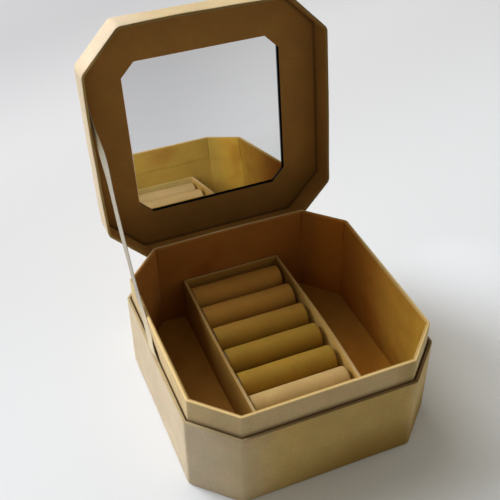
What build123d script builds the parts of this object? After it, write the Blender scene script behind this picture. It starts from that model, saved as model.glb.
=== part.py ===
from build123d import *
import math
import os

# An eight-sided card ring box with a hinged mirror lid, standing open.
# Sizes are in millimetres. X points right, Y back and Z up.
# The origin is on the table, under the middle of the box.

# Plan of the box: a square whose corners are cut off
half_width = 65.0           # from the middle to the outside of a wall
corner_leg = 20.4           # how far a cut corner runs along each side
corner_round = 2.0          # radius of the wrapped upright edges
inner_round = 0.6           # radius in the upright corners inside
edge_round = 0.4            # radius of the wrapped rims

# Outer wall, liner and floor
wall_top = 46.2             # height of the outer wall's rim
wall_board = 2.0
glue_gap = 0.4              # between the outer wall and the liner
liner_board = 1.6
liner_rise = 12.8           # how far the liner stands above the outer wall
base_board_thick = 2.2
floor_board_thick = 2.0
paper = 0.3                 # covering and lining paper
base_paper_inset = 1.0      # bare edge around the paper under the base
turn_in_depth = 15.0        # covering paper folded over the liner's rim

# Ring tray, standing on the floor between the front and the back
tray_half_width = 28.65
tray_height = 27.8
tray_board = 1.6
tray_shift = -0.7           # the tray is glued a little to the left
tray_play = 0.4             # between the tray and the liner, at each end

# Padded ring rolls on their deck
roll_radius = 7.4
sleeve_thick = 0.5
roll_slot = 2.2             # least gap between two rolls, for the rings
roll_drop = 1.4             # from the tray's rim down to the top of a roll
roll_end_gap = 0.6          # between a roll's end and the tray's wall
roll_play = 0.2             # between the end rolls and the tray's walls
core_inset = 0.3            # a foam core ends inside its sleeve
deck_board = 1.2
deck_play = 0.3             # between the deck and the tray, all round

# Lid, modelled shut and then swung open
seat_gap = 0.2              # between the lid's rim and the outer wall when shut
lid_play = 0.9              # between the lid's rim and the liner
panel_play = 0.4            # between the mirror panel and the liner's rim
lid_board = 2.2
frame_board = 1.2
mirror_thick = 1.5
lid_edge_round = 1.0        # radius around the lid's top
frame_side = 20.6           # width of the card frame left and right of the mirror
frame_end = 20.6            # width of the card frame at its front and back
window_leg = 7.5            # how far the window's cut corners run
window_shift_x = -0.6       # the window is cut a little off the middle
window_shift_y = 0.7
mirror_overlap = 2.6        # how far the glass reaches behind the frame
mirror_play = 0.3           # around the glass

# Paper hinge behind the box
open_angle = 98.0
hinge_back = 1.7            # from the outer wall back to the hinge line
hinge_drop = 0.25           # from the outer wall's rim down to the hinge line
hinge_inset = 2.5           # bare edge at each end of the hinge
hinge_leaf = 0.4
base_leaf_height = 14.0
lid_leaf_height = 12.0
leaf_setback = 1.3          # from the lid's rim to the lid's leaf
crease_radius = 1.1

# Ribbon stay on the left
ribbon_width = 6.0
ribbon_thick = 0.3
ribbon_base_y = 7.0         # where it comes out between the liner and the wall
ribbon_base_tab = 14.0      # length glued inside that gap
ribbon_lid_y = -20.5        # where it leaves the lid's side, with the lid shut
ribbon_lid_rise = 3.8       # height of that place above the lid's rim
ribbon_lid_tab = 9.0        # length glued to the lid's side
ribbon_end_gap = 0.15       # the free length stops this short of its tabs

# Derived places
leg_shrink = 2 - math.sqrt(2)
liner_half = half_width - wall_board - glue_gap
well_half = liner_half - liner_board
rim_half = liner_half + lid_play
window_half_x = rim_half - frame_side
window_half_y = rim_half - frame_end
liner_top = wall_top + liner_rise
base_board_bottom = paper
liner_bottom = base_board_bottom + base_board_thick
floor_lining_bottom = liner_bottom + floor_board_thick
tray_bottom = floor_lining_bottom + paper
tray_top = tray_bottom + tray_height
tray_half_length = well_half - tray_play
tray_inner_half = tray_half_width - tray_board
tray_inner_half_length = tray_half_length - tray_board
tray_floor_top = tray_bottom + tray_board
roll_centre_z = tray_top - roll_drop - roll_radius
deck_top = roll_centre_z - roll_radius
rim_bottom = wall_top + seat_gap
panel_bottom = liner_top + panel_play
mirror_bottom = panel_bottom + frame_board
mirror_top = mirror_bottom + mirror_thick
lid_top = mirror_top + lid_board
hinge_y = half_width + hinge_back
hinge_z = wall_top - hinge_drop
hinge_length = 2 * (half_width - corner_leg - hinge_inset)
liner_ribbon_x = -(liner_half + ribbon_thick / 2)
rim_ribbon_x = -(rim_half - ribbon_thick / 2)

os.makedirs("parts", exist_ok=True)


def save(shape, name):
    export_step(shape, f"parts/{name}.step")


def octagon(half, radius, half_y=None, leg=None):
    """The plan outline at a distance from the middle, with rounded corners."""
    half_y = half if half_y is None else half_y
    leg = corner_leg - (half_width - half) * leg_shrink if leg is None else leg
    corners = [
        (half - leg, -half_y),
        (half, -half_y + leg),
        (half, half_y - leg),
        (half - leg, half_y),
        (-half + leg, half_y),
        (-half, half_y - leg),
        (-half, -half_y + leg),
        (-half + leg, -half_y),
    ]
    outline = make_face(Polyline(*corners, close=True))
    return fillet(outline.vertices(), radius)


def board(outline, bottom, top):
    return extrude(Pos(0, 0, bottom) * outline, amount=top - bottom)


def edges_at(shape, height):
    """The edges that lie wholly at one height."""
    return shape.edges().filter_by_position(Axis.Z, height, height)


def eight_sided_wall(half, thickness, bottom, top, wrapped):
    """A closed wall that follows the plan, with its wrapped rim rounded."""
    outside = board(octagon(half, corner_round), bottom, top)
    inside = board(octagon(half - thickness, inner_round), bottom, top)
    wall = outside - inside
    return fillet(edges_at(wall, wrapped), edge_round)


def block(x_range, y_range, z_range):
    """A rectangular piece between its lowest and highest corners."""
    sizes = [high - low for low, high in (x_range, y_range, z_range)]
    corner = Pos(x_range[0], y_range[0], z_range[0])
    return corner * Box(*sizes, align=(Align.MIN, Align.MIN, Align.MIN))


def opened(shape):
    """Swings a piece of the shut lid to where it stands open."""
    swing = Pos(0, hinge_y, hinge_z) * Rot(-open_angle, 0, 0)
    return swing * Pos(0, -hinge_y, -hinge_z) * shape


def opened_point(x, y, z):
    turn = math.radians(-open_angle)
    back = y - hinge_y
    up = z - hinge_z
    return Vector(
        x,
        hinge_y + back * math.cos(turn) - up * math.sin(turn),
        hinge_z + back * math.sin(turn) + up * math.cos(turn),
    )


def strip(start, end):
    """A straight length of ribbon whose face looks along X."""
    run = end - start
    place = Plane(origin=start, x_dir=(1, 0, 0), z_dir=run.normalized())
    return extrude(place * Rectangle(ribbon_thick, ribbon_width), amount=run.length)


def shell_and_liner():
    under_half = half_width - base_paper_inset
    save(board(octagon(under_half, corner_round), 0, paper), "base_paper")
    base = board(octagon(half_width - wall_board, inner_round), base_board_bottom, liner_bottom)
    save(base, "base_board")
    save(eight_sided_wall(half_width, wall_board, paper, wall_top, wall_top), "outer_wall")
    save(eight_sided_wall(liner_half, liner_board, liner_bottom, liner_top, liner_top), "liner_collar")
    turn_in_top = liner_top - edge_round
    turn_in_bottom = turn_in_top - turn_in_depth
    turned = board(octagon(well_half, inner_round), turn_in_bottom, turn_in_top)
    turned -= board(octagon(well_half - paper, inner_round), turn_in_bottom, turn_in_top)
    save(turned, "liner_turn_in")
    floor = board(octagon(well_half, inner_round), liner_bottom, floor_lining_bottom)
    save(floor, "inner_floor")
    lining = board(octagon(well_half, inner_round), floor_lining_bottom, tray_bottom)
    save(lining, "floor_lining")


def ring_tray():
    left = tray_shift - tray_half_width
    right = tray_shift + tray_half_width
    ends = (-tray_half_length, tray_half_length)
    across = (left + tray_board, right - tray_board)
    walls = {
        "tray_left_wall": ((left, left + tray_board), ends),
        "tray_right_wall": ((right - tray_board, right), ends),
        "tray_front_wall": (across, (-tray_half_length, -tray_inner_half_length)),
        "tray_back_wall": (across, (tray_inner_half_length, tray_half_length)),
    }
    for name, (x_range, y_range) in walls.items():
        save(block(x_range, y_range, (tray_bottom, tray_top)), name)
    along = (-tray_inner_half_length, tray_inner_half_length)
    save(block(across, along, (tray_bottom, tray_floor_top)), "tray_floor")


def ring_rolls():
    deck_half = tray_inner_half - deck_play
    deck_half_length = tray_inner_half_length - deck_play
    across = (tray_shift - deck_half, tray_shift + deck_half)
    along = (-deck_half_length, deck_half_length)
    deck = block(across, along, (tray_floor_top, deck_top))
    under_deck = (across[0] + deck_board, across[1] - deck_board)
    deck -= block(under_deck, along, (tray_floor_top, deck_top - deck_board))
    save(deck, "roll_deck")

    free_length = 2 * (tray_inner_half_length - roll_play)
    roll_count = int((free_length + roll_slot) / (2 * roll_radius + roll_slot))
    pitch = (free_length - 2 * roll_radius) / (roll_count - 1)
    roll_length = 2 * (tray_inner_half - roll_end_gap)
    core_length = roll_length - 2 * core_inset
    core_radius = roll_radius - sleeve_thick
    first = free_length / 2 - roll_radius
    for number in range(roll_count):
        place = Pos(tray_shift, first - number * pitch, roll_centre_z) * Rot(0, 90, 0)
        sleeve = Cylinder(roll_radius, roll_length) - Cylinder(core_radius, roll_length)
        save(place * sleeve, f"roll_sleeve_{number + 1}")
        save(place * Cylinder(core_radius, core_length), f"roll_core_{number + 1}")


def lid():
    top_board = board(octagon(half_width, corner_round), mirror_top, lid_top)
    top_board = fillet(edges_at(top_board, lid_top), lid_edge_round)
    save(opened(top_board), "lid_top_board")
    rim = eight_sided_wall(half_width, half_width - rim_half, rim_bottom, mirror_top, rim_bottom)
    save(opened(rim), "lid_rim")
    window_place = Pos(window_shift_x, window_shift_y, 0)
    window = octagon(window_half_x, inner_round, window_half_y, window_leg)
    panel = board(octagon(rim_half, inner_round), panel_bottom, mirror_bottom)
    panel -= window_place * board(window, panel_bottom, mirror_bottom)
    save(opened(panel), "mirror_frame_board")
    glass_x = 2 * (window_half_x + mirror_overlap)
    glass_y = 2 * (window_half_y + mirror_overlap)
    glass = board(Rectangle(glass_x, glass_y), mirror_bottom, mirror_top)
    save(opened(window_place * glass), "mirror_glass")
    pocket = Rectangle(glass_x + 2 * mirror_play, glass_y + 2 * mirror_play)
    spacer = board(octagon(rim_half, inner_round), mirror_bottom, mirror_top)
    spacer -= window_place * board(pocket, mirror_bottom, mirror_top)
    save(opened(spacer), "mirror_spacer")


def hinge():
    across = (-hinge_length / 2, hinge_length / 2)
    depth = (half_width, half_width + hinge_leaf)
    leaf_top = wall_top - edge_round - crease_radius
    base_leaf = block(across, depth, (leaf_top - base_leaf_height, leaf_top))
    bulge = Pos(hinge_y, hinge_z) * Circle(crease_radius)
    foot = Pos(half_width + hinge_leaf / 2, leaf_top + hinge_leaf / 2) * Circle(hinge_leaf / 2)
    profile = make_hull(bulge.edges() + foot.edges())
    crease = extrude(Plane.YZ * profile, amount=hinge_length / 2, both=True)
    crease -= block(across, (0, half_width), (0, lid_top))
    save(base_leaf, "hinge_base_leaf")
    save(crease, "hinge_crease")
    lid_leaf_bottom = rim_bottom + leaf_setback
    lid_leaf = block(across, depth, (lid_leaf_bottom, lid_leaf_bottom + lid_leaf_height))
    save(opened(lid_leaf), "hinge_lid_leaf")


def ribbon():
    mouth = Vector(liner_ribbon_x, ribbon_base_y, wall_top)
    leaves_lid = opened_point(rim_ribbon_x, ribbon_lid_y, rim_bottom + ribbon_lid_rise)
    run = leaves_lid - mouth
    along = run.normalized() * ribbon_end_gap
    flat_run = Vector(0, run.Y, run.Z).normalized()
    save(strip(mouth - flat_run * ribbon_base_tab, mouth), "ribbon_base_tab")
    save(strip(leaves_lid, leaves_lid + flat_run * ribbon_lid_tab), "ribbon_lid_tab")
    save(strip(mouth + along, leaves_lid - along), "ribbon_stay")


shell_and_liner()
ring_tray()
ring_rolls()
lid()
hinge()
ribbon()
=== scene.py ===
import math
import random

import bpy
from mathutils import Euler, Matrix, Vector


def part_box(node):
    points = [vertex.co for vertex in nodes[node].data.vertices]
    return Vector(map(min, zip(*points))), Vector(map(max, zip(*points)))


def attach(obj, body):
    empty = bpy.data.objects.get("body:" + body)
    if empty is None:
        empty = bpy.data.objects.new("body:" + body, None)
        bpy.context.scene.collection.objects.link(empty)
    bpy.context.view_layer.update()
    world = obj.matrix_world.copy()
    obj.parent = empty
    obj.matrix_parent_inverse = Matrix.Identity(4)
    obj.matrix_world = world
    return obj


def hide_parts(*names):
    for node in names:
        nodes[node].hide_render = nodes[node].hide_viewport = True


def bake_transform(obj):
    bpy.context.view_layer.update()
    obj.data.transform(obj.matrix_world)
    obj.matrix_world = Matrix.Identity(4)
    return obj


# An eight-sided card ring box in kraft paper, standing open. Metres, in the frame of the CAD model.

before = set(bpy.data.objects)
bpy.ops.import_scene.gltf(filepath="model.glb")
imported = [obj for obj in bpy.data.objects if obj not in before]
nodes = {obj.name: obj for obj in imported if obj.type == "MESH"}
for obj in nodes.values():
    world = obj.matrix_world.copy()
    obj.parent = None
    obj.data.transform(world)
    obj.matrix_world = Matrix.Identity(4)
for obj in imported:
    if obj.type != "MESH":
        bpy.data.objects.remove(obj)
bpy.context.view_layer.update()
print("frame loaded:", len(nodes), "nodes")

cameraSettings = {
    "place": (-0.1305, -0.2879, 0.3562),
    "turn": (0.8739, 0.0085, -0.3933),
    "lens": 62.59,
    "sensor": 36.0,
    "clip": 0.01,
}


def addCamera(settings):
    lensData = bpy.data.cameras.new("camera")
    lensData.lens = settings["lens"]
    lensData.sensor_width = settings["sensor"]
    lensData.clip_start = settings["clip"]
    camera = bpy.data.objects.new("camera", lensData)
    camera.location = settings["place"]
    camera.rotation_euler = settings["turn"]
    bpy.context.scene.collection.objects.link(camera)
    bpy.context.scene.camera = camera


addCamera(cameraSettings)
print("camera placed")

# The box's plan and heights, as the frame has them
plan = {
    "half": 0.065,        # middle to the outside of the outer wall
    "leg": 0.0204,        # how far a cut corner runs along each side
    "legShrink": 0.5858,  # how much shorter that run gets, as a share of the way further in
    "linerHalf": 0.0626,
    "wellHalf": 0.0610,
    "rimHalf": 0.0635,    # inside of the lid's rim
    "hinge": (0.0, 0.0667, 0.04595),
    "openTurn": math.radians(98),
}


def legAt(half):
    return plan["leg"] - (plan["half"] - half) * plan["legShrink"]


# Shader nodes. A Wire is one output socket, and reckoning with wires adds Math nodes


class Wire:
    def __init__(self, tree, socket):
        self.tree = tree
        self.socket = socket

    def maths(self, operation, first, second=0.0):
        return self.tree.add("ShaderNodeMath", {"operation": operation}, {0: first, 1: second})

    def __add__(self, other):
        return self.maths("ADD", self, other)

    def __radd__(self, other):
        return self.maths("ADD", other, self)

    def __sub__(self, other):
        return self.maths("SUBTRACT", self, other)

    def __rsub__(self, other):
        return self.maths("SUBTRACT", other, self)

    def __mul__(self, other):
        return self.maths("MULTIPLY", self, other)

    def __rmul__(self, other):
        return self.maths("MULTIPLY", other, self)

    def __truediv__(self, other):
        return self.maths("DIVIDE", self, other)

    def __pow__(self, other):
        return self.maths("POWER", self, other)

    def __abs__(self):
        return self.maths("ABSOLUTE", self)

    def least(self, other):
        return self.maths("MINIMUM", self, other)

    def most(self, other):
        return self.maths("MAXIMUM", self, other)

    def ramp(self, low, high):
        settings = {"interpolation_type": "SMOOTHSTEP"}
        return self.tree.add("ShaderNodeMapRange", settings, {0: self, 1: low, 2: high, 3: 0.0, 4: 1.0})


def opaque(colour):
    # A wire as it is, and a colour's three shares with full alpha
    return colour if isinstance(colour, Wire) else (*colour, 1)


class NodeTree:
    def __init__(self, tree):
        self.tree = tree

    def add(self, kind, settings, sockets, output=0):
        node = self.tree.nodes.new(kind)
        for name, value in settings.items():
            setattr(node, name, value)
        for name, value in sockets.items():
            if isinstance(value, Wire):
                self.tree.links.new(value.socket, node.inputs[name])
            else:
                node.inputs[name].default_value = value
        return Wire(self, node.outputs[output])

    def mix(self, amount, first, second):
        settings = {"data_type": "RGBA", "clamp_factor": True}
        return self.add("ShaderNodeMix", settings, {0: amount, 6: opaque(first), 7: opaque(second)}, 2)

    def times(self, first, second):
        settings = {"data_type": "RGBA", "blend_type": "MULTIPLY"}
        return self.add("ShaderNodeMix", settings, {0: 1.0, 6: opaque(first), 7: opaque(second)}, 2)


class Finish(NodeTree):
    def __init__(self, name, constants, lid=False):
        self.material = bpy.data.materials.new(name)
        self.material.use_nodes = True
        super().__init__(self.material.node_tree)
        self.shader = self.tree.nodes["Principled BSDF"]
        for socket, value in constants.items():
            self.shader.inputs[socket].default_value = value
        self.place = self.add("ShaderNodeTexCoord", {}, {}, "Object")
        if lid:
            self.place = self.shut(self.place)
        parts = [self.add("ShaderNodeSeparateXYZ", {}, {0: self.place}, number) for number in range(3)]
        self.axes = dict(zip("xyz", parts))

    def shut(self, place):
        # Turns a place on the open lid back to where it is with the lid shut
        hinge = plan["hinge"]
        moved = self.add("ShaderNodeMapping", {}, {0: place, 1: [-value for value in hinge]})
        return self.add("ShaderNodeMapping", {}, {0: moved, 1: hinge, 2: (plan["openTurn"], 0, 0)})

    def feed(self, name, wire):
        self.tree.links.new(wire.socket, self.shader.inputs[name])

    def dyed(self, colour):
        self.feed("Base Color", colour)
        return self.material

    def tint(self, tone, *patches):
        # Lays the patches over the tone
        for colour, spans in patches:
            mask = 1.0
            for axis, span in spans.items():
                mask = mask * self.axes[axis].ramp(*span)
            tone = self.mix(mask, tone, colour)
        return tone

    def noise(self, scale, detail=2.0, stretch=(1, 1, 1), rough=0.5, place=None):
        paintedLightPatch = self.add("ShaderNodeMapping", {}, {0: place or self.place, 3: stretch})
        sockets = {"Vector": paintedLightPatch, "Scale": scale, "Detail": detail, "Roughness": rough}
        return self.add("ShaderNodeTexNoise", {}, sockets)

    def swayed(self, scale, amount):
        # The place, pushed about by a soft noise, so that lines laid on it wander
        cloud = self.add("ShaderNodeTexNoise", {}, {"Vector": self.place, "Scale": scale, "Detail": 1.0}, 1)
        middle = self.add("ShaderNodeVectorMath", {"operation": "SUBTRACT"}, {0: cloud, 1: (0.5, 0.5, 0.5)})
        push = self.add("ShaderNodeVectorMath", {"operation": "SCALE"}, {0: middle, 3: amount})
        return self.add("ShaderNodeVectorMath", {"operation": "ADD"}, {0: self.place, 1: push})

    def bump(self, height, distance):
        self.feed("Normal", self.add("ShaderNodeBump", {}, {"Distance": distance, "Height": height}))


def shade(colour, amount):
    return tuple(min(1.0, value * amount) for value in colour)


# Kraft paper's pattern: clouded pulp, long fibres and fine specks
pulpSettings = {
    "red": (1.0, 0.94, 0.92),      # the pulp's two leanings, as shares of its colour
    "olive": (0.96, 1.0, 0.94),
    "cloudScale": 70,      # clouds in the pulp, about 14 mm
    "hueScale": 170,
    "grainScale": 1100,    # grain, about 1 mm
    "fibreScale": 3200,
    "fibreRun": 0.10,      # a fibre is this much finer along its run
    "swayScale": 180,
    "sway": 0.0035,        # how far the fibres wander
    "darkFibres": (0.66, 0.74),    # where in the noise they lie
    "paleFibres": (0.36, 0.28),
    "speckScale": 2600,
    "specks": (0.72, 0.78),
    "fade": 0.86,          # the share of its colour that the darkest cloud keeps
    # how strong each mark is, and the share of the colour that it leaves
    "grain": (0.45, 0.70),
    "darkFibre": (0.35, 0.55),
    "paleFibre": (0.30, 1.0),
    "speck": (0.45, 0.40),
    "stainScale": 30,
    "stain": (0.62, 0.40, 0.34),
    "roughness": 0.70,
    "bumpDepth": 0.00005,
}


def strongest(runs, low, high):
    masks = [run.ramp(low, high) for run in runs]
    return masks[0].most(masks[1]).most(masks[2])


def layKraft(finish, colour, stain=None, settings=pulpSettings):
    # The paper's pattern, times its colour, which is a wire or three shares
    clouds = finish.noise(settings["cloudScale"], 4.0)
    grain = finish.noise(settings["grainScale"], 3.0, rough=0.6)
    hue = finish.noise(settings["hueScale"])
    wandering = finish.swayed(settings["swayScale"], settings["sway"])
    fine = settings["fibreRun"]
    stretches = ((fine, 1, 1), (1, fine, 1), (1, 1, fine))
    runs = [finish.noise(settings["fibreScale"], 1.0, stretch, place=wandering) for stretch in stretches]
    dark = strongest(runs, *settings["darkFibres"])
    pale = strongest(runs, *settings["paleFibres"])
    specks = finish.noise(settings["speckScale"], 0.0).ramp(*settings["specks"])
    white = (1, 1, 1)
    tone = finish.mix(clouds.ramp(0.28, 0.72), shade(white, settings["fade"]), white)
    tone = finish.times(tone, finish.mix(hue.ramp(0.32, 0.68), settings["red"], settings["olive"]))
    marks = {"grain": grain.ramp(0.3, 0.75), "darkFibre": dark, "paleFibre": pale, "speck": specks}
    for name, mask in marks.items():
        strength, share = settings[name]
        tone = finish.mix(mask * strength, tone, shade(white, share))
    if stain is not None:
        blots = finish.noise(settings["stainScale"], 2.0, rough=0.7).ramp(0.50, 0.72)
        tone = finish.mix(blots * stain, tone, settings["stain"])
    finish.bump(grain * 0.6 + dark * 0.35 + clouds * 0.8 + pale * 0.25, settings["bumpDepth"])
    finish.feed("Roughness", settings["roughness"] + clouds * 0.14 + dark * 0.05)
    finish.grain = grain
    return finish.times(tone, colour)


# Tints that several papers share. A patch is a colour and where it starts and is full along each axis
kraftSettings = {
    "outer": (0.57, 0.420, 0.200),
    "shadedFront": ((0.55, 0.385, 0.135), {"y": (0.04, -0.03)}),          # painted shade: the front, away from the window, darker and warmer
    "litLeft": ((0.61, 0.500, 0.350), {"x": (-0.020, -0.062)}),     # painted light: paler at the left, where the window light falls
    "panel": (0.36, 0.176, 0.040),
    "rubbed": (0.70, 0.57, 0.36),
    # painted shade in gaps between parts
    "gapShade": (0.05, 0.028, 0.012),
    "gloss": 0.12,
    "cornerWorn": (0.0002, 0.0030),    # how far from an upright corner the paper is rubbed
}


def startKraft(name, lid=False):
    return Finish(name, {"Specular IOR Level": kraftSettings["gloss"]}, lid)


def towards(value, edge, depths):
    # 0 where a value is short of the edge by the first depth, and 1 where it is by the second
    start, full = depths
    return value.ramp(edge - start, edge - full)


def cornerDistance(finish, half):
    # How far a place on an eight-sided wall is from the nearest upright corner
    x, y = abs(finish.axes["x"]), abs(finish.axes["y"])
    return ((x.most(y) - half) ** 2.0 + (x.least(y) - (half - legAt(half))) ** 2.0) ** 0.5


def wallDistance(finish, half):
    # How far out a place is, measured so that the eight-sided wall is at half
    x, y = abs(finish.axes["x"]), abs(finish.axes["y"])
    cut = (x + y - (2 * half - legAt(half))) * math.sqrt(0.5) + half
    return x.most(y).most(cut)


def rubbedCorner(finish, half):
    return 1 - cornerDistance(finish, half).ramp(*kraftSettings["cornerWorn"])


def outerFace(reach, half, thick):
    # 1 on a wall's outer face, and 0 on its inner one
    return towards(reach, half, (thick * 0.75, thick * 0.25))


def patchy(finish, least=0.3, more=0.7):
    # Wear follows the paper's grain
    return least + finish.grain * more


def paintedLightAndShadeKraft(finish, settings=kraftSettings):
    # Painted shade at the front and painted light at the left, over the outer paper
    return finish.tint(settings["outer"], settings["shadedFront"], settings["litLeft"])


shellSettings = {
    "thick": 0.002,
    "rim": 0.0462,
    # painted light on the cut corner at the right of the front, and painted shade at the foot of the front
    "rightCutLight": ((0.64, 0.480, 0.220), {"x": (0.038, 0.045), "y": (0.0, -0.03)}),
    "foot": ((0.36, 0.225, 0.052), {"x": (-0.035, 0.02), "y": (0.04, -0.02), "z": (0.030, 0.0)}),
    # the rim's top: painted light at the left, and painted shade to the right, in the liner's shadow
    "rimLit": (0.52, 0.42, 0.24),
    "rimShaded": ((0.27, 0.176, 0.080), {"x": (-0.058, -0.005)}),
    "rimDepth": (0.0005, 0.0001),
    "linerGapShade": (0.08, 0.045, 0.018),     # painted shade in the gap between the rim and the liner
    "linerGapShadeIn": (0.0010, 0.0017),       # how far in from the outside it lies
    "cornerDepth": (0.0, 0.0006),      # the corners' wear starts under the rim
    "cornerWear": 0.12,
}


def shellKraft(name, settings):
    finish = startKraft(name)
    half, rim, z = plan["half"], settings["rim"], finish.axes["z"]
    reach = wallDistance(finish, half)
    outer = outerFace(reach, half, settings["thick"])
    # Painted light at the left and on the right cut corner, painted shade at the front and its foot
    colour = finish.tint(paintedLightAndShadeKraft(finish), settings["rightCutLight"], settings["foot"])
    colour = finish.mix(outer, kraftSettings["outer"], colour)
    # The rim's top: painted light and shade, and painted shade in the gap by the liner
    edge = finish.tint(settings["rimLit"], settings["rimShaded"])
    edge = finish.mix(towards(reach, half, settings["linerGapShadeIn"]), edge, settings["linerGapShade"])
    tone = layKraft(finish, finish.mix(towards(z, rim, settings["rimDepth"]), colour, edge))
    corner = rubbedCorner(finish, half) * towards(z, rim, settings["cornerDepth"])
    worn = corner * outer * settings["cornerWear"] * patchy(finish)
    return finish.dyed(finish.mix(worn, tone, kraftSettings["rubbed"]))


linerSettings = {
    "thick": 0.0016,
    "rim": 0.0590,
    "outside": (0.60, 0.450, 0.240),
    # painted shade on the outside's right, away from the window
    "outsideRightShade": ((0.42, 0.300, 0.095), {"x": (0.028, 0.052), "y": (0.0, -0.03)}),
    # painted light on the cut corner at the right of the front
    "rightCutLight": ((0.62, 0.490, 0.255), {"x": (0.0435, 0.0450), "y": (0.0, -0.03)}),
    # inside: painted light, yellower at the front and paler on the right wall, and painted shade, redder at
    # the back
    "front": (0.40, 0.250, 0.042),
    "back": ((0.38, 0.155, 0.030), {"y": (-0.050, 0.035)}),
    "right": ((1.45, 1.40, 1.05), {"x": (0.044, 0.056)}),
    "rimWearAndHighlight": (0.78, 0.57, 0.25),     # paler at the front, not at the back: partly wear, partly painted highlight
    "rimFrom": (0.048, 0.010),
    "rimDepth": (0.0006, 0.0002),
    "flapRim": (0.45, 0.30, 0.11),       # the rim's inner half, where the paper turns in, paler at the front: partly painted highlight
    "flapIn": (0.0008, 0.0012),          # how far in from the outside that half starts, and is full
    "flapDepth": (0.0006, 0.0003),
    # painted shade in the gaps where the flaps meet
    "gapShadeWidth": (0.0003, 0.0008),
    "gapShadeStrength": 0.4,
    "stain": 0.5,
    "cornerWear": 0.15,
}


def linerInsideLitAndShaded(finish, settings):
    # Painted light to the front and right, painted shade to the back
    colour = finish.tint(settings["front"], settings["back"])
    return finish.times(colour, finish.tint((1, 1, 1), settings["right"]))


def linerRimWearAndHighlight(finish, settings, depth):
    # The rim's front: partly wear, partly painted highlight
    rubbed = towards(finish.axes["z"], settings["rim"], settings[depth])
    return rubbed * finish.axes["y"].ramp(*settings["rimFrom"])


def linerKraft(name, settings):
    finish = startKraft(name)
    half = plan["linerHalf"]
    reach = wallDistance(finish, half)
    outer = outerFace(reach, half, settings["thick"])
    outside = finish.tint(settings["outside"], settings["outsideRightShade"], settings["rightCutLight"])
    colour = finish.mix(outer, linerInsideLitAndShaded(finish, settings), outside)
    tone = layKraft(finish, colour, (1 - outer) * settings["stain"])
    corner = rubbedCorner(finish, half) * settings["cornerWear"] * outer
    tone = finish.mix(corner, tone, kraftSettings["rubbed"])
    edge = finish.mix(towards(reach, half, settings["flapIn"]), settings["rimWearAndHighlight"], settings["flapRim"])
    worn = linerRimWearAndHighlight(finish, settings, "rimDepth") * patchy(finish, 0.6, 0.5)
    return finish.dyed(finish.mix(worn, tone, edge))


def liningKraft(name, half, settings):
    # The turned-in paper, with painted shade in the gap where two flaps meet in a corner
    finish = startKraft(name)
    cornerGapShade = 1 - cornerDistance(finish, half).ramp(*settings["gapShadeWidth"])
    tone = layKraft(finish, linerInsideLitAndShaded(finish, settings), settings["stain"])
    tone = finish.mix(cornerGapShade * settings["gapShadeStrength"], tone, kraftSettings["gapShade"])
    return finish.dyed(finish.mix(linerRimWearAndHighlight(finish, settings, "flapDepth"), tone, settings["flapRim"]))


# The lid's places are those of the shut lid
lidSettings = {
    # painted light on the lid's front, which is its top when open and faces the light
    "front": ((0.66, 0.510, 0.290), {"y": (-0.042, -0.050)}),
    # the palest part, where the open lid faces the light
    "cut": ((0.74, 0.605, 0.43), {"x": (-0.020, -0.045), "y": (-0.042, -0.050)}),
    "top": ((0.56, 0.430, 0.225), {"z": (0.0634, 0.0641)}),
    "lip": (0.25, 0.165, 0.055),      # the rim's edge
    # painted light: the rim's edge is paler at the left, where the window light falls
    "lipLeft": ((0.41, 0.280, 0.095), {"x": (-0.050, -0.060)}),
    "lipHeight": (0.0468, 0.04645),
    "paperIn": (0.0011, 0.0004),      # how far in from the outside the outer paper reaches
    "paperHeight": (0.0631, 0.0637),
    "cornerHeights": ((0.0469, 0.0475), (0.0644, 0.0638)),     # where the corners' wear starts and stops
    "cornerWear": 0.3,
    "edge": 0.0643,
    "edgeWidth": (0.0014, 0.0002),
    "edgeIn": (0.0016, 0.0004),
    "edgeWear": 0.7,
}


def lidKraft(name, inside, settings):
    # The outer paper goes over the lid's top and sides, and the panel's paper is inside
    finish = startKraft(name, lid=True)
    half, z = plan["half"], finish.axes["z"]
    reach = wallDistance(finish, half)
    outer = towards(reach, half, settings["paperIn"]).most(z.ramp(*settings["paperHeight"]))
    outside = finish.tint(paintedLightAndShadeKraft(finish), settings["front"], settings["cut"], settings["top"])
    lip = finish.tint(settings["lip"], settings["lipLeft"])
    colour = finish.mix(z.ramp(*settings["lipHeight"]), finish.mix(outer, inside, outside), lip)
    tone = layKraft(finish, colour)
    low, high = settings["cornerHeights"]
    corner = rubbedCorner(finish, half) * z.ramp(*low) * z.ramp(*high)
    rubbed = abs(z - settings["edge"]).ramp(*settings["edgeWidth"]) * towards(reach, half, settings["edgeIn"])
    worn = (corner * settings["cornerWear"]).most(rubbed * settings["edgeWear"]) * outer * patchy(finish)
    return finish.dyed(finish.mix(worn, tone, kraftSettings["rubbed"]))


def plainKraft(name, colour):
    finish = startKraft(name)
    return finish.dyed(layKraft(finish, colour))


floorSettings = {
    "back": (0.45, 0.215, 0.036),
    # painted light: paler towards the front, most on the right, where light reaches past the lid
    "frontFrom": {"y": (0.030, -0.035)},
    "frontLeft": (0.56, 0.275, 0.055),
    "frontRight": ((0.66, 0.310, 0.040), {"x": (-0.01, 0.01)}),
    "stain": 0.3,
}


def floorKraft(name, settings):
    finish = startKraft(name)
    # Painted light towards the front
    front = finish.tint(settings["frontLeft"], settings["frontRight"])
    colour = finish.tint(settings["back"], (front, settings["frontFrom"]))
    return finish.dyed(layKraft(finish, colour, settings["stain"]))


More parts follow.
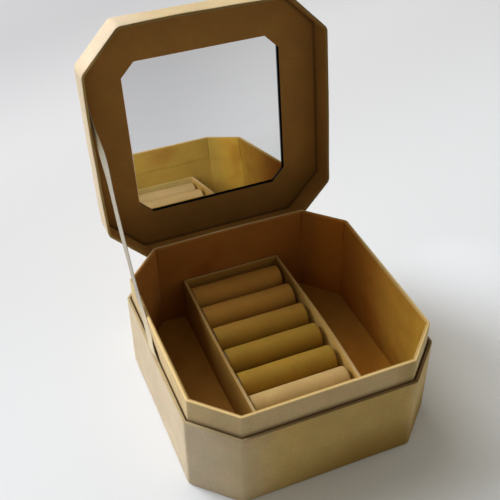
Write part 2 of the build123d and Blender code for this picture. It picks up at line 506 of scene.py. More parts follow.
sleeveSettings = {
    "middle": (0.42, 0.245, 0.033),
    # painted shade: the back rolls, in the lid's shade, are redder
    "back": ((0.51, 0.255, 0.050), {"y": (0.0, 0.040)}),
    "litSixthRoll": ((0.62, 0.42, 0.17), {"y": (-0.0246, -0.0256)}),      # painted light: the front rolls are paler, out of the lid's shade
    "litSeventhRoll": ((0.52, 0.36, 0.15), {"y": (-0.0424, -0.0434)}),
}


def sleeveKraft(name, settings):
    finish = startKraft(name)
    patches = [settings[patch] for patch in ("back", "litSixthRoll", "litSeventhRoll")]
    return finish.dyed(layKraft(finish, finish.tint(settings["middle"], *patches)))


trayPaperSettings = {
    "back": (0.36, 0.195, 0.040),
    # painted light: paler towards the front
    "front": ((0.52, 0.300, 0.062), {"y": (0.055, -0.045)}),
    "frontWall": ((0.42, 0.300, 0.090), {"y": (-0.0585, -0.0590)}),
    "right": (0.66, 0.420, 0.120),        # painted light on the right wall's middle, which the light reaches
    "rightFrom": (0.0240, 0.0255),
    "rightAhead": (0.045, 0.015),
    "rightBehind": (-0.040, -0.010),
    "rightLeast": 0.4,                    # how much of it the right wall's front has
    "rimBack": (0.40, 0.250, 0.090),
    # the top edge: paler towards the front, partly wear and partly painted light
    "rimFront": ((0.60, 0.440, 0.235), {"y": (0.0, -0.050)}),
    "rimHeight": (0.0321, 0.0326),
}


def trayKraft(name, settings):
    # The tray's boards: paper with painted light towards the front and on the right wall, and a paler top
    # edge, partly wear and partly painted light towards the front
    finish = startKraft(name)
    x, y, z = finish.axes.values()
    least = settings["rightLeast"]
    lit = x.ramp(*settings["rightFrom"]) * y.ramp(*settings["rightAhead"])
    lit = lit * (least + y.ramp(*settings["rightBehind"]) * (1 - least))
    colour = finish.mix(lit, finish.tint(settings["back"], settings["front"]), settings["right"])
    tone = layKraft(finish, finish.tint(colour, settings["frontWall"]))
    edge = finish.tint(settings["rimBack"], settings["rimFront"], settings["frontWall"])
    return finish.dyed(finish.mix(z.ramp(*settings["rimHeight"]) * patchy(finish, 0.4), tone, edge))


panelSettings = {
    "low": 0.70,                   # painted shade: the share of its colour that is left near the hinge
    "lowFrom": {"y": (0.026, 0.052)},
    # painted shade in the gap round the panel's outside
    "gapShadeIn": (0.0026, 0.0004),
    "gapShadeStrength": 0.6,
    "cut": ((0.020, 0.014, 0.009), {"z": (0.0595, 0.0597)}),     # painted shade on the window's edge, behind the panel's face
}


def panelKraft(name, colour, settings):
    # The frame around the mirror, with painted shade near the hinge and in the gap round its outside
    finish = startKraft(name, lid=True)
    half = plan["rimHalf"]
    tone = layKraft(finish, finish.tint(colour, (shade(colour, settings["low"]), settings["lowFrom"])))
    gapShade = towards(wallDistance(finish, half), half, settings["gapShadeIn"])
    tone = finish.mix(gapShade * settings["gapShadeStrength"], tone, kraftSettings["gapShade"])
    return finish.dyed(finish.tint(tone, settings["cut"]))


mirrorSettings = {
    "silver": (0.86, 0.87, 0.88),
    "smearScale": 45,
    "smearTint": 0.3,
    "roughness": 0.012,
    "smudge": 0.05,
    "windowLeft": -0.0435,
    "windowFront": -0.0422,
    "windowRight": 0.0423,
    "windowBack": 0.0436,
    "edgeWidth": (0.00036, 0.00072),
    # painted reflection: a pale line at the window's left and front, for the frame's pale cut edge
    "edge": (1.0, 0.84, 0.79),
    # painted shade: a dark band at the window's right and back, where the frame's edge is shaded
    "gapIn": (0.0015, 0.0009),
    "gap": (0.012, 0.014, 0.018),
    "lean": math.tan(math.radians(0.9)),      # the glass isn't quite parallel to its lid
}


def mirrorMaterial(settings):
    # Silvered glass, with a painted reflection of a pale edge at the front and left, and painted shade at the
    # right and back
    finish = Finish("mirrorSilver", {"Specular IOR Level": 0.5, "Metallic": 1.0}, lid=True)
    smears = finish.noise(settings["smearScale"], 3.0, (1, 3, 1))
    x, y = finish.axes["x"], finish.axes["y"]
    paintedEdgeReflection = 1 - (x - settings["windowLeft"]).least(y - settings["windowFront"]).ramp(*settings["edgeWidth"])
    # Painted shade at the right and back
    right = towards(x, settings["windowRight"], settings["gapIn"])
    back = towards(y, settings["windowBack"], settings["gapIn"])
    smeared = smears.ramp(0.3, 0.8) * settings["smearTint"]
    tone = finish.mix(smeared, settings["silver"], shade(settings["silver"], 0.95))
    tone = finish.mix(paintedEdgeReflection, tone, settings["edge"])
    finish.feed("Roughness", settings["roughness"] + smears.ramp(0.5, 0.8) * settings["smudge"] + paintedEdgeReflection * 0.3)
    finish.bump(y * settings["lean"], 1.0)
    return finish.dyed(finish.mix(right.most(back), tone, settings["gap"]))


boardSettings = {"grey": (0.34, 0.33, 0.31), "fleckScale": 1200, "cloudScale": 90, "bumpDepth": 0.00008}


def greyBoard(name, settings):
    finish = Finish(name, {"Specular IOR Level": 0.3})
    grey = settings["grey"]
    flecks = finish.noise(settings["fleckScale"], 2.0, (1, 1, 3))
    clouds = finish.noise(settings["cloudScale"], 3.0)
    tone = finish.mix(clouds.ramp(0.3, 0.7), shade(grey, 0.9), shade(grey, 1.1))
    tone = finish.mix(flecks.ramp(0.62, 0.7) * 0.5, tone, shade(grey, 0.5))
    tone = finish.mix(flecks.ramp(0.38, 0.3) * 0.4, tone, shade(grey, 1.6))
    finish.feed("Roughness", 0.8 + clouds * 0.15)
    finish.bump(flecks + clouds, settings["bumpDepth"])
    return finish.dyed(tone)


shellPaper = shellKraft("shellPaper", shellSettings)
linerPaper = linerKraft("linerPaper", linerSettings)
lidPaper = lidKraft("lidPaper", kraftSettings["panel"], lidSettings)
liningPaper = liningKraft("liningPaper", plan["wellHalf"], linerSettings)
floorPaper = floorKraft("floorPaper", floorSettings)
panelPaper = panelKraft("panelPaper", kraftSettings["panel"], panelSettings)
trayPaper = trayKraft("trayPaper", trayPaperSettings)
rollPaper = sleeveKraft("rollPaper", sleeveSettings)
basePaper = plainKraft("basePaper", kraftSettings["outer"])
hingePaper = plainKraft("hingePaper", kraftSettings["outer"])
greyCard = greyBoard("greyCard", boardSettings)
mirrorSilver = mirrorMaterial(mirrorSettings)
print("paper, card and mirror finishes made")


def dress(material, *names):
    for name in names:
        nodes[name].data.materials.clear()
        nodes[name].data.materials.append(material)


dress(liningPaper, "liner_turn_in", "inner_floor")
dress(floorPaper, "floor_lining")
dress(panelPaper, "mirror_frame_board")
dress(trayPaper, "tray_floor", "roll_deck")
dress(basePaper, "base_paper")
dress(hingePaper, "hinge_base_leaf", "hinge_lid_leaf")
dress(greyCard, "base_board", "mirror_spacer")
dress(mirrorSilver, "mirror_glass")
print("CAD nodes dressed")

# Modelling by hand: a primitive, then edit-mode operators on what is picked by place
closeBy = 1e-5     # places nearer than this count as the same
facing = 0.9       # a face looks along an axis when at least this much of its normal does


def at(value, place):
    return abs(value - place) < closeBy


def evenly(low, high, parts):
    # The places that divide a length into equal parts, and its two ends
    return [low + (high - low) * number / parts for number in range(parts + 1)]


def objectMode():
    bpy.ops.object.mode_set(mode="OBJECT")


def editMode():
    bpy.ops.object.mode_set(mode="EDIT")


def deselectAll():
    if bpy.context.object and bpy.context.object.mode != "OBJECT":
        objectMode()
    bpy.ops.object.select_all(action="DESELECT")


def startPiece(name, primitive, scale=(1, 1, 1), **options):
    deselectAll()
    primitive(**options)
    piece = bpy.context.object
    piece.name = piece.data.name = name
    piece.scale = scale
    settle(piece)
    return piece


def startBlock(name, low, high):
    low, high = Vector(low), Vector(high)
    sizes = {"size": 1, "location": (low + high) / 2, "scale": high - low}
    return startPiece(name, bpy.ops.mesh.primitive_cube_add, **sizes)


def makeOnly(piece):
    deselectAll()
    piece.select_set(True)
    bpy.context.view_layer.objects.active = piece


def settle(piece):
    makeOnly(piece)
    bpy.ops.object.transform_apply(location=True, rotation=True, scale=True)


def pick(piece, kind, test):
    # kind is VERT, EDGE or FACE, and test gets the middle and, for a face, its normal
    makeOnly(piece)
    editMode()
    bpy.ops.mesh.select_mode(type=kind)
    bpy.ops.mesh.select_all(action="DESELECT")
    objectMode()
    points = piece.data.vertices
    if kind == "VERT":
        for point in points:
            point.select = test(point.co, None)
    elif kind == "EDGE":
        for edge in piece.data.edges:
            edge.select = test((points[edge.vertices[0]].co + points[edge.vertices[1]].co) / 2, None)
    else:
        for face in piece.data.polygons:
            face.select = test(face.center, face.normal)
    editMode()


def bevelPicked(width, segments):
    bpy.ops.mesh.bevel(offset=width, segments=segments)
    objectMode()


def deletePicked():
    bpy.ops.mesh.delete(type="FACE")
    objectMode()


def cutAcross(piece, axis, places):
    # Rings of edges at the places along an axis
    makeOnly(piece)
    editMode()
    normal = [1.0 if number == axis else 0.0 for number in range(3)]
    for place in places:
        bpy.ops.mesh.select_all(action="SELECT")
        bpy.ops.mesh.bisect(plane_co=[place * value for value in normal], plane_no=normal)
    objectMode()


def addModifier(piece, kind, **settings):
    makeOnly(piece)
    modifier = piece.modifiers.new(kind.lower(), kind)
    for name, value in settings.items():
        setattr(modifier, name, value)
    bpy.ops.object.modifier_apply(modifier=modifier.name)


def soften(piece, width, segments):
    # Rounds the edges where the surface turns by more than 50 degrees
    limit = {"limit_method": "ANGLE", "angle_limit": math.radians(50)}
    addModifier(piece, "BEVEL", width=width, segments=segments, **limit)


def cloudTexture(name, size, depth):
    clouds = bpy.data.textures.new(name, "CLOUDS")
    clouds.noise_scale = size
    clouds.noise_depth = depth
    return clouds


def displace(piece, texture, strength, level):
    # Moves the surface in or out by a texture, which leaves it in place where it is at level
    options = {"texture": texture, "texture_coords": "LOCAL", "strength": strength, "mid_level": level}
    addModifier(piece, "DISPLACE", **options)


def smooth(piece):
    makeOnly(piece)
    bpy.ops.object.shade_smooth_by_angle(angle=math.radians(40))


def copyOf(piece, name, move=(0, 0, 0), turn=0.0):
    makeOnly(piece)
    bpy.ops.object.duplicate()
    copy = bpy.context.object
    copy.name = copy.data.name = name
    copy.location = move
    copy.rotation_euler = (0, 0, turn)
    settle(copy)
    return copy


def mated(first, others):
    makeOnly(first)
    for other in others:
        other.select_set(True)
    bpy.ops.object.join()


def bow(piece, tugs, near):
    # Pulls the points near each place, and those within its reach by less, as card bows
    for place, move, reach in tugs:
        pick(piece, "VERT", lambda co, normal: (co - Vector(place)).length < near)
        bpy.ops.transform.translate(
            value=move, use_proportional_edit=True, proportional_edit_falloff="SMOOTH",
            proportional_size=reach,
        )
        objectMode()


def swingOpen(piece):
    # A piece modelled with the lid shut goes to where the open lid has it
    hinge = Vector(plan["hinge"])
    turn = Euler((-plan["openTurn"], 0, 0))
    piece.rotation_euler = turn
    piece.location = hinge - turn.to_matrix() @ hinge
    settle(piece)


def finishPiece(piece, material, body, slot, *replaced):
    piece.data.materials.clear()
    piece.data.materials.append(material)
    if body:
        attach(piece, body)
    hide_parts(*replaced)


# The box's boards, wrapped in paper: soft corners and rims, and walls that bow a little.
# Levels are the heights of the rings of edges, and a tug is a place, its move and how far the move reaches
boardShapes = {
    "shell": {
        "half": 0.065,
        "low": 0.0003,
        "high": 0.0462,
        "thick": 0.002,
        "round": 0.0030,
        "levels": (0.012, 0.024, 0.036),
        "tugs": [((-0.065, 0, 0.0462), (-0.0004, 0, 0), 0.04)],
    },
    "liner": {
        "half": 0.0626,
        "low": 0.0025,
        "high": 0.0590,
        "thick": 0.0016,
        "round": 0.0020,
        "levels": (0.018, 0.034, 0.048),
        "tugs": [
            ((-0.0626, 0, 0.0590), (-0.0003, 0, 0), 0.04),
            ((0, 0.0626, 0.0590), (0, 0.0003, 0.0003), 0.04),
        ],
    },
    "lid": {
        "half": 0.065,
        "low": 0.0464,
        "high": 0.0643,
        "thick": 0.0015,
        "round": 0.0042,
        "capRound": 0.0018,
        "rimRound": 0.0006,
        "levels": (0.0500, 0.0550, 0.0600),
        "tugs": [
            ((-0.065, -0.021, 0.0464), (-0.0006, 0, 0), 0.024),
            ((-0.065, 0.002, 0.0464), (-0.0006, 0, 0), 0.024),
            ((-0.065, 0.025, 0.0464), (-0.0006, 0, 0), 0.024),
            ((0.065, 0.0446, 0.0464), (-0.0004, 0, 0), 0.040),
            ((-0.0548, 0.0548, 0.0464), (0.0004, 0.0003, 0), 0.022),
            ((-0.022, -0.065, 0.0464), (0, -0.0006, 0), 0.026),
            ((0.002, -0.065, 0.0464), (0, -0.0005, 0), 0.030),
            ((-0.0548, -0.0548, 0.0643), (0.0005, 0.0005, 0), 0.011),
            ((-0.028, -0.065, 0.0643), (0, 0.0003, 0), 0.017),
            *[((x, -0.065, 0.0643), (0, 0.0004, 0), 0.017) for x in (-0.014, 0, 0.014, 0.028)],
            ((0.042, -0.065, 0.0643), (0, 0.0003, 0), 0.017),
        ],
    },
    "columns": 14,
    "columnEnd": 0.002,    # the outermost column of edges is this far from a corner
    "near": 0.0045,        # a tug takes hold of the points that are nearer than this
    "wave": 0.0003,        # how far the card is from flat
    "waveSize": 0.045,
    "rimRound": 0.0004,
}


def makeBoards(name, shape, settings, waves):
    half, low, high = shape["half"], shape["low"], shape["high"]
    leg = legAt(half)
    capped = "capRound" in shape
    walls = startBlock(name, (-half, -half, low), (half, half, high))
    pick(walls, "EDGE", lambda co, normal: at(abs(co.x), half) and at(abs(co.y), half))
    bevelPicked(leg, 1)
    pick(walls, "FACE", lambda co, normal: normal.z < -facing or (normal.z > facing and not capped))
    deletePicked()
    pick(walls, "EDGE", lambda co, normal: at(co.z, (low + high) / 2))
    # A corner turns by 45 degrees, so its rounding starts this far from it
    bevelPicked(shape["round"] * math.tan(math.radians(22.5)), 4)
    if capped:
        pick(walls, "EDGE", lambda co, normal: co.z > high - closeBy)
        bevelPicked(shape["capRound"], 3)
    reach = half - leg - settings["columnEnd"]
    for axis in (0, 1):
        cutAcross(walls, axis, evenly(-reach, reach, settings["columns"]))
    cutAcross(walls, 2, shape["levels"])
    bow(walls, shape["tugs"], settings["near"])
    displace(walls, waves, settings["wave"], 0.5)
    addModifier(walls, "SOLIDIFY", thickness=shape["thick"], offset=-1.0, use_even_offset=True)
    soften(walls, shape.get("rimRound", settings["rimRound"]), 3)
    smooth(walls)
    return walls


def addBoards(settings):
    waves = cloudTexture("boardWaves", settings["waveSize"], 0)
    shell = makeBoards("outerShell", settings["shell"], settings, waves)
    finishPiece(shell, shellPaper, "base", "kraft_board", "outer_wall")
    liner = makeBoards("linerCollar", settings["liner"], settings, waves)
    finishPiece(liner, linerPaper, "base", "kraft_board", "liner_collar")
    lid = makeBoards("lidShell", settings["lid"], settings, waves)
    swingOpen(lid)
    finishPiece(lid, lidPaper, "lid", "kraft_board", "lid_top_board", "lid_rim")


addBoards(boardShapes)
print("outer wall, liner and lid added")

# The tray's walls: one strip of card folded into a ring
traySettings = {
    "low": (-0.02935, -0.0606, 0.0048),
    "high": (0.02795, 0.0606, 0.0326),
    "thick": 0.0016,
    "round": 0.0009,
    "rimRound": 0.0003,
    "across": 5,           # how many parts the rings of edges divide it into
    "along": 16,
    "levels": (0.3, 0.6, 0.85),
    "near": 0.006,
    "tugs": [
        ((0.02795, -0.004, 0.0326), (0.00125, 0, 0), 0.060),
        ((-0.02935, 0.004, 0.0326), (-0.0007, 0, 0), 0.055),
    ],
}


def addTray(settings):
    low, high = Vector(settings["low"]), Vector(settings["high"])
    ring = startBlock("trayWalls", low, high)
    pick(ring, "FACE", lambda co, normal: abs(normal.z) > facing)
    deletePicked()
    pick(ring, "EDGE", lambda co, normal: at(co.z, (low.z + high.z) / 2))
    bevelPicked(settings["round"], 3)
    cutAcross(ring, 0, evenly(low.x, high.x, settings["across"])[1:-1])
    cutAcross(ring, 1, evenly(low.y, high.y, settings["along"])[1:-1])
    cutAcross(ring, 2, [low.z + (high.z - low.z) * share for share in settings["levels"]])
    bow(ring, settings["tugs"], settings["near"])
    addModifier(ring, "SOLIDIFY", thickness=settings["thick"], offset=-1.0, use_even_offset=True)
    soften(ring, settings["rimRound"], 2)
    smooth(ring)
    walls = [f"tray_{side}_wall" for side in ("left", "right", "front", "back")]
    finishPiece(ring, trayPaper, "base", "kraft_board", *walls)


addTray(traySettings)
print("tray walls added")

# Ring rolls: a foam core in a paper sleeve, with soft ends and shallow dents
rollSettings = {
    "sides": 56,
    "rings": 14,
    "sleeve": 0.0005,
    "endPull": 0.955,      # the sleeve's ends draw in to this share of its radius
    "endRun": 0.0010,      # over this length
    "shoulderPull": 0.9895,
    "sleeveRound": 0.00018,
    "coreGap": 0.0002,
    "coreSet": 0.0008,     # the core ends inside its sleeve
    "coreDome": 0.0004,
    "coreInsets": (0.30, 0.34),
    "coreRound": 0.0004,
    "dent": 0.0004,
    "dentSize": 0.016,
    "count": 7,
    "short": 0.0009,       # the sleeves stop this far short of the tray's right wall
    "strays": {4: 0.0004, 6: 0.0011},      # how far a roll lies to the back of its place
}


def makeSleeve(settings, low, high):
    middle = (low + high) / 2
    radius = (high.z - low.z) / 2
    sleeve = startPiece(
        "rollSleeve", bpy.ops.mesh.primitive_cylinder_add, vertices=settings["sides"], radius=radius,
        depth=high.x - low.x, end_fill_type="NOTHING", location=middle, rotation=(0, math.pi / 2, 0),
    )
    run = settings["endRun"]
    inner = evenly(low.x + run * 3, high.x - run * 3, settings["rings"])
    cutAcross(sleeve, 0, [low.x + run * 0.35, low.x + run, high.x - run, high.x - run * 0.35, *inner])
    for start, end, pull in ((-1.0, 0.1, settings["endPull"]), (0.1, 0.5, settings["shoulderPull"])):
        pick(sleeve, "VERT", lambda co, normal: run * start < min(co.x - low.x, high.x - co.x) < run * end)
        bpy.ops.transform.resize(value=(1, pull, pull), center_override=middle)
        objectMode()
    return sleeve


def makeCore(settings, low, high):
    middle = (low + high) / 2
    depth = high.x - low.x - settings["coreSet"]
    radius = (high.z - low.z) / 2 * settings["endPull"] - settings["sleeve"] - settings["coreGap"]
    core = startPiece(
        "rollCore", bpy.ops.mesh.primitive_cylinder_add, vertices=settings["sides"] // 2, radius=radius,
        depth=depth, location=middle, rotation=(0, math.pi / 2, 0),
    )
    pick(core, "FACE", lambda co, normal: abs(normal.x) > facing)
    for share in settings["coreInsets"]:
        bpy.ops.mesh.inset(thickness=radius * share)
        bpy.ops.transform.resize(value=(1 + settings["coreDome"] / depth, 1, 1), center_override=middle)
    objectMode()
    soften(core, settings["coreRound"], 2)
    smooth(core)
    return core


foamSettings = {"colour": (0.78, 0.74, 0.62), "cellScale": 1800, "cloudScale": 160, "bumpDepth": 0.0002}


def foamMaterial(settings):
    finish = Finish("rollFoam", {"Specular IOR Level": 0.2})
    colour = settings["colour"]
    sockets = {"Vector": finish.place, "Scale": settings["cellScale"]}
    cells = finish.add("ShaderNodeTexVoronoi", {"feature": "F1"}, sockets)
    clouds = finish.noise(settings["cloudScale"])
    tone = finish.mix(cells.ramp(0.2, 0.6), shade(colour, 0.7), shade(colour, 1.05))
    finish.feed("Roughness", 0.85 + clouds * 0.1)
    finish.bump(cells, settings["bumpDepth"])
    return finish.dyed(finish.mix(clouds.ramp(0.4, 0.7) * 0.3, tone, shade(colour, 0.8)))


def addRolls(settings):
    firstLow, firstHigh = [Vector(corner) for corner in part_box("roll_sleeve_1")]
    firstHigh.x -= settings["short"]
    dents = cloudTexture("rollDents", settings["dentSize"], 1)
    foam = foamMaterial(foamSettings)
    sleeve = makeSleeve(settings, firstLow, firstHigh)
    core = makeCore(settings, firstLow, firstHigh)
    for number in range(1, settings["count"] + 1):
        low = Vector(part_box(f"roll_sleeve_{number}")[0])
        move = low - firstLow + Vector((0, settings["strays"].get(number, 0), 0))
        cover = copyOf(sleeve, f"ringRoll{number}", move)
        displace(cover, dents, settings["dent"], 1.0)
        addModifier(cover, "SOLIDIFY", thickness=settings["sleeve"], offset=-1.0)
        soften(cover, settings["sleeveRound"], 2)
        smooth(cover)
        finishPiece(cover, rollPaper, "base", "kraft_paper", f"roll_sleeve_{number}")
        foamCore = copyOf(core, f"rollCore{number}", move)
        finishPiece(foamCore, foam, "base", "roll_wadding", f"roll_core_{number}")
    for spare in (sleeve, core):
        bpy.data.objects.remove(spare)


addRolls(rollSettings)
print("ring rolls added")

# The covering paper turned in over the liner's rim: eight flaps, snipped at the corners
turnInSettings = {
    "thick": 0.0003,
    "low": 0.0436,
    "high": 0.0587,
    "sunk": 0.00003,       # how far a flap's back is set into the wall
    "cornerGap": 0.0002,
    "snip": 0.0012,        # how far a flap's ends taper towards its cut edge
    "columns": 18,
    "cutColumns": 6,       # those of the flaps at the cut corners
    "levels": (0.25, 0.6, 0.95),
    "wander": 0.0005,      # how far the cut edge strays
    "seed": 11,
}


def makeFlap(name, settings, distance, halfLength, columns, dice):
    low, high, thick, sunk = [settings[name] for name in ("low", "high", "thick", "sunk")]
    reach = halfLength - settings["cornerGap"]
    flap = startBlock(name, (-reach, distance - thick - sunk, low), (reach, distance + sunk, high))
    places = evenly(-reach, reach, columns)
    cutAcross(flap, 0, places[1:-1])
    cutAcross(flap, 2, [low + (high - low) * share for share in settings["levels"]])
    for place in places:
        pick(flap, "VERT", lambda co, normal: at(co.x, place) and co.z < low + closeBy)
        inward = -settings["snip"] * (place / reach) if at(abs(place), reach) else 0.0
        bpy.ops.transform.translate(value=(inward, 0, dice.uniform(-1, 1) * settings["wander"]))
        objectMode()
    pick(flap, "EDGE", lambda co, normal: co.z > high - closeBy and co.y < distance - thick * 0.9)
    bevelPicked(thick * 0.7, 3)
    return flap


def addTurnIn(settings):
    dice = random.Random(settings["seed"])
    half = plan["wellHalf"]
    leg = legAt(half)
    straight = makeFlap("linerTurnIn", settings, half, half - leg, settings["columns"], dice)
    cutDistance, cutHalf = (2 * half - leg) * math.sqrt(0.5), leg * math.sqrt(0.5)
    cut = makeFlap("cutFlap", settings, cutDistance, cutHalf, settings["cutColumns"], dice)
    flaps = [copyOf(straight, f"flap{number}", turn=math.pi / 2 * number) for number in (1, 2, 3)]
    flaps += [copyOf(cut, f"cutFlap{number}", turn=math.pi / 4 + math.pi / 2 * number) for number in range(4)]
    bpy.data.objects.remove(cut)
    mated(straight, flaps)
    bow(straight, boardShapes["liner"]["tugs"], boardShapes["near"])
    smooth(straight)
    finishPiece(straight, liningPaper, "base", "kraft_paper", "liner_turn_in")


addTurnIn(turnInSettings)
print("turned-in paper added")

# The paper hinge: a folded strip that bends between the two leaves
hingeSettings = {
    "thick": 0.0004,
    "half": 0.0421,
    "start": 0.001,        # the first strip of it, below the profile
    "profile": [
        (0.0652, 0.0447), (0.06545, 0.04515), (0.0660, 0.04555), (0.0667, 0.04590),
        (0.0674, 0.04625), (0.0681, 0.04670), (0.06864, 0.04719),
    ],
    "foldStart": (0, 0.0654, 0.0451),
    "foldEnd": (0, 0.0683, 0.0468),
    "columns": 14,
}


def addHinge(settings):
    profile, half, start = settings["profile"], settings["half"], settings["start"]
    lastY, lastZ = profile[0]
    strip = startPiece(
        "hingeCrease", bpy.ops.mesh.primitive_plane_add, scale=(half * 2, start, 1),
        size=1, location=(0, lastY, lastZ - start / 2), rotation=(math.pi / 2, 0, 0),
    )
    for y, z in profile[1:]:
        pick(strip, "EDGE", lambda co, normal: at(co.x, 0) and at(co.y, lastY) and at(co.z, lastZ))
        bpy.ops.mesh.extrude_edges_move(TRANSFORM_OT_translate={"value": (0, y - lastY, z - lastZ)})
        objectMode()
        lastY, lastZ = y, z
    cutAcross(strip, 0, evenly(-half, half, settings["columns"])[1:-1])
    makeOnly(strip)
    editMode()
    bpy.ops.mesh.select_all(action="SELECT")
    bpy.ops.mesh.normals_make_consistent(inside=False)
    objectMode()
    addModifier(strip, "SOLIDIFY", thickness=settings["thick"], offset=0.0)
    addModifier(strip, "SUBSURF", levels=1, render_levels=1)
    smooth(strip)
    finishPiece(strip, hingePaper, None, "kraft_paper", "hinge_crease")
    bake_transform(strip)


addHinge(hingeSettings)
print("hinge added")

# The ribbon stay: satin, from inside the lid's rim down between the liner and the shell
ribbonSettings = {
    "width": 0.006,
    "thick": 0.0003,
    # place, and by how many degrees the ribbon's face is turned from looking sideways
    "route": [
        ((-0.06335, 0.0895, 0.1400), 0), ((-0.06335, 0.0862, 0.1358), 0), ((-0.0633, 0.0832, 0.1320), 0),
        ((-0.0630, 0.0800, 0.1280), 2), ((-0.0625, 0.0755, 0.1229), 10), ((-0.0622, 0.0700, 0.1170), 20),
        ((-0.0623, 0.0640, 0.1102), 13), ((-0.0627, 0.0575, 0.1030), 7), ((-0.0631, 0.0500, 0.0947), 9),
        ((-0.0633, 0.0430, 0.0869), 8), ((-0.0634, 0.0370, 0.0803), 6), ((-0.0635, 0.0310, 0.0737), 4),
        ((-0.0636, 0.0260, 0.0681), 7), ((-0.0635, 0.0210, 0.0625), 8), ((-0.0634, 0.0160, 0.0570), 10),
        ((-0.0634, 0.0115, 0.0522), 13), ((-0.0637, 0.0080, 0.0494), 15), ((-0.0642, 0.0050, 0.0480), 14),
        ((-0.0645, 0.0022, 0.0475), 10), ((-0.0644, -0.0002, 0.0465), 4), ((-0.0635, -0.0014, 0.0443), 0),
        ((-0.0628, -0.0020, 0.0412), 0), ((-0.0628, -0.0028, 0.0380), 0), ((-0.0628, -0.0038, 0.0352), 0),
    ],
    "rings": 90,
    "foldStart": (-0.0637, 0.0070, 0.0470),
    "foldEnd": (-0.0631, 0.0795, 0.1285),
}


satinSettings = {
    "colour": (0.39, 0.345, 0.255),
    "lidShade": (0.27, 0.200, 0.085),     # painted shade where it goes up into the lid
    "lidShadeFrom": (0.23, 0.12),         # shares of its length
    "bulgeHighlight": (0.64, 0.53, 0.34),     # painted highlight where it bulges over the shell's rim
    "bulgeHighlightFrom": (0.68, 0.80),
    "hem": (0.44, 0.48),              # shares of its width, from the middle
    "threads": 340.0,
    "picks": 2600.0,
    "cloudScale": 130,
    "bumpDepth": 0.00003,
}


def satinMaterial(settings):
    finish = Finish("satinRibbon", {"Specular IOR Level": 0.35, "Anisotropic": 0.5, "Sheen Weight": 0.1})
    spread = finish.add("ShaderNodeTexCoord", {}, {}, "UV")
    along = finish.add("ShaderNodeSeparateXYZ", {}, {0: spread}, 0)
    across = finish.add("ShaderNodeSeparateXYZ", {}, {0: spread}, 1)
    edge = abs(across - 0.5).ramp(*settings["hem"])
    threads = finish.add("ShaderNodeMath", {"operation": "SINE"}, {0: across * settings["threads"]})
    picks = finish.add("ShaderNodeMath", {"operation": "SINE"}, {0: along * settings["picks"]})
    clouds = finish.noise(settings["cloudScale"])
    colour = settings["colour"]
    tone = finish.mix(clouds.ramp(0.3, 0.7), shade(colour, 0.92), shade(colour, 1.06))
    tone = finish.mix(threads.ramp(-1.0, 1.0) * 0.14, tone, shade(colour, 0.7))
    tone = finish.mix(along.ramp(*settings["lidShadeFrom"]), tone, settings["lidShade"])
    tone = finish.mix(along.ramp(*settings["bulgeHighlightFrom"]), tone, settings["bulgeHighlight"])
    finish.feed("Roughness", 0.32 + clouds * 0.12 + edge * 0.2)
    finish.bump(threads * 0.5 + picks * 0.2 + edge * 1.5, settings["bumpDepth"])
    return finish.dyed(finish.mix(edge * 0.5, tone, shade(colour, 0.75)))


def addRibbon(settings):
    route = settings["route"]
    deselectAll()
    bpy.ops.curve.primitive_nurbs_path_add()
    path = bpy.context.object
    path.name = "ribbonRoute"
    path.location = (0, 0, 0)
    path.data.splines.clear()
    spline = path.data.splines.new("NURBS")
    spline.points.add(len(route) - 1)
    for point, (place, turn) in zip(spline.points, route):
        point.co = (*place, 1)
        point.tilt = math.radians(90 - turn)
    spline.order_u = 3
    spline.use_endpoint_u = True
    path.data.resolution_u = 24
    path.data.twist_mode = "TANGENT"
    length, width = spline.calc_length(), settings["width"]
    strip = startPiece(
        "ribbonStay", bpy.ops.mesh.primitive_plane_add, scale=(length, width, 1),
        size=1, location=(length / 2, 0, 0),
    )
    cutAcross(strip, 0, evenly(0, length, settings["rings"])[1:-1])
    cutAcross(strip, 1, evenly(-width / 2, width / 2, 4)[1:-1])
    addModifier(strip, "CURVE", object=path, deform_axis="POS_X")
    bpy.data.objects.remove(path)
    addModifier(strip, "SOLIDIFY", thickness=settings["thick"], offset=0.0)
    smooth(strip)
    lengths = ("ribbon_stay", "ribbon_lid_tab", "ribbon_base_tab")
    finishPiece(strip, satinMaterial(satinSettings), None, "satin_ribbon", *lengths)
    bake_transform(strip)
    print("ribbon is", round(length, 3), "m long")


addRibbon(ribbonSettings)
print("ribbon added")

lightSettings = {
    "fill": (1.0, 0.90, 0.74),
    "fillStrength": 0.24,
    "seen": (0.58, 0.61, 0.64),     # what the camera and the mirror see of it
    # name: place, watts, width, colour
    "lamps": {
        "windowLight": ((-1.837, 1.837, 1.5), 118.0, 1.85, (0.96, 0.98, 1.06)),
        "ceilingLight": ((-0.5, 1.6, 2.6), 26.0, 1.8, (1.0, 0.98, 0.95)),
        "sideLight": ((2.37, -0.64, 1.72), 11.0, 2.5, (1.0, 0.98, 0.94)),
    },
    "aim": (0, 0, 0.05),
}


def addWorld(settings):
    world = bpy.data.worlds.new("world")
    world.use_nodes = True
    bpy.context.scene.world = world
    tree = NodeTree(world.node_tree)
    camera = tree.add("ShaderNodeLightPath", {}, {}, "Is Camera Ray")
    glossy = tree.add("ShaderNodeLightPath", {}, {}, "Is Glossy Ray")
    seen = camera.most(glossy)
    colour = tree.mix(seen, settings["fill"], settings["seen"])
    strength = settings["fillStrength"] + seen * (1 - settings["fillStrength"])
    sky = world.node_tree.nodes["Background"]
    world.node_tree.links.new(colour.socket, sky.inputs["Color"])
    world.node_tree.links.new(strength.socket, sky.inputs["Strength"])


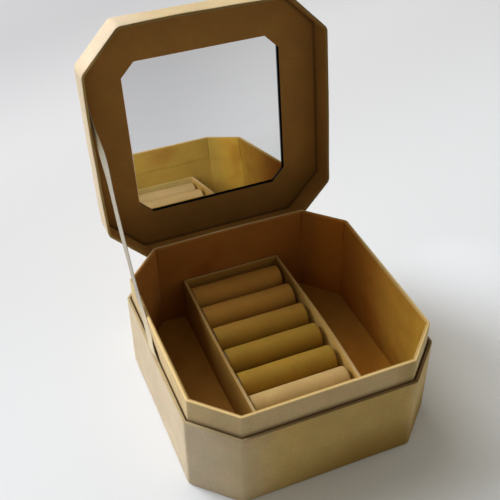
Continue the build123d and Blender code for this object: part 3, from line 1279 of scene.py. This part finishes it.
def addLamps(settings):
    for name, (place, watts, width, colour) in settings["lamps"].items():
        lamp = bpy.data.lights.new(name, "AREA")
        lamp.energy = watts
        lamp.size = width
        lamp.color = colour
        window = bpy.data.objects.new(name, lamp)
        window.location = place
        aim = Vector(settings["aim"]) - Vector(place)
        window.rotation_euler = aim.to_track_quat("-Z", "Y").to_euler()
        bpy.context.scene.collection.objects.link(window)


# The pale floor, with painted shade towards the back and painted light at the right. In front of the edge lie
# the far tones, which only the mirror shows
stageSettings = {
    "size": 8,
    "near": (0.75, 0.775, 0.785),
    # painted shade: darker towards the back
    "middle": (0.655, 0.665, 0.67),
    "middleFrom": (0.02, 0.26),
    "back": (0.49, 0.495, 0.50),
    "backFrom": (0.28, 0.50),
    "slant": 0.3,                     # how much the tones run to the back, per metre to the right
    "paintedLightPatch": (0.92, 0.96, 1.0),        # painted light: paler at the right, where the box's shadow falls
    "spotPlace": (0.140, -0.050),
    "spotDepth": 0.6,
    "spotReach": (0.080, 0.028),
    "far": (0.78, 0.79, 0.80),
    "farLeft": (0.66, 0.67, 0.685),
    "fanPlace": (-0.13, 0.45),        # the two far tones part along lines from here
    "farFrom": (0.26, 0.44),
    "edge": (-0.23, -0.13),
    "edgeSlant": 0.03,
}


def addFloor(settings):
    size = settings["size"]
    floor = startPiece("floor", bpy.ops.mesh.primitive_plane_add, size=size, location=(0, 0, 0))
    finish = Finish("paleFloor", {"Specular IOR Level": 0.2, "Roughness": 0.9})
    x, y = finish.axes["x"], finish.axes["y"]
    away = y - x * settings["slant"]
    near = finish.mix(away.ramp(*settings["middleFrom"]), settings["near"], settings["middle"])
    near = finish.mix(away.ramp(*settings["backFrom"]), near, settings["back"])
    spotX, spotY = settings["spotPlace"]
    paintedLightPatch = ((x - spotX) ** 2.0 + ((y - spotY) * settings["spotDepth"]) ** 2.0) ** 0.5
    near = finish.mix(paintedLightPatch.ramp(*settings["spotReach"]), near, settings["paintedLightPatch"])
    fanX, fanY = settings["fanPlace"]
    fan = (x - fanX) / (fanY - y)
    far = finish.mix(fan.ramp(*settings["farFrom"]), settings["farLeft"], settings["far"])
    ahead = (y - x * settings["edgeSlant"]).ramp(*settings["edge"])
    floor.data.materials.append(finish.dyed(finish.mix(ahead, far, near)))


addWorld(lightSettings)
addLamps(lightSettings)
addFloor(stageSettings)
bpy.context.scene.view_settings.view_transform = "Standard"
print("lights and floor added")
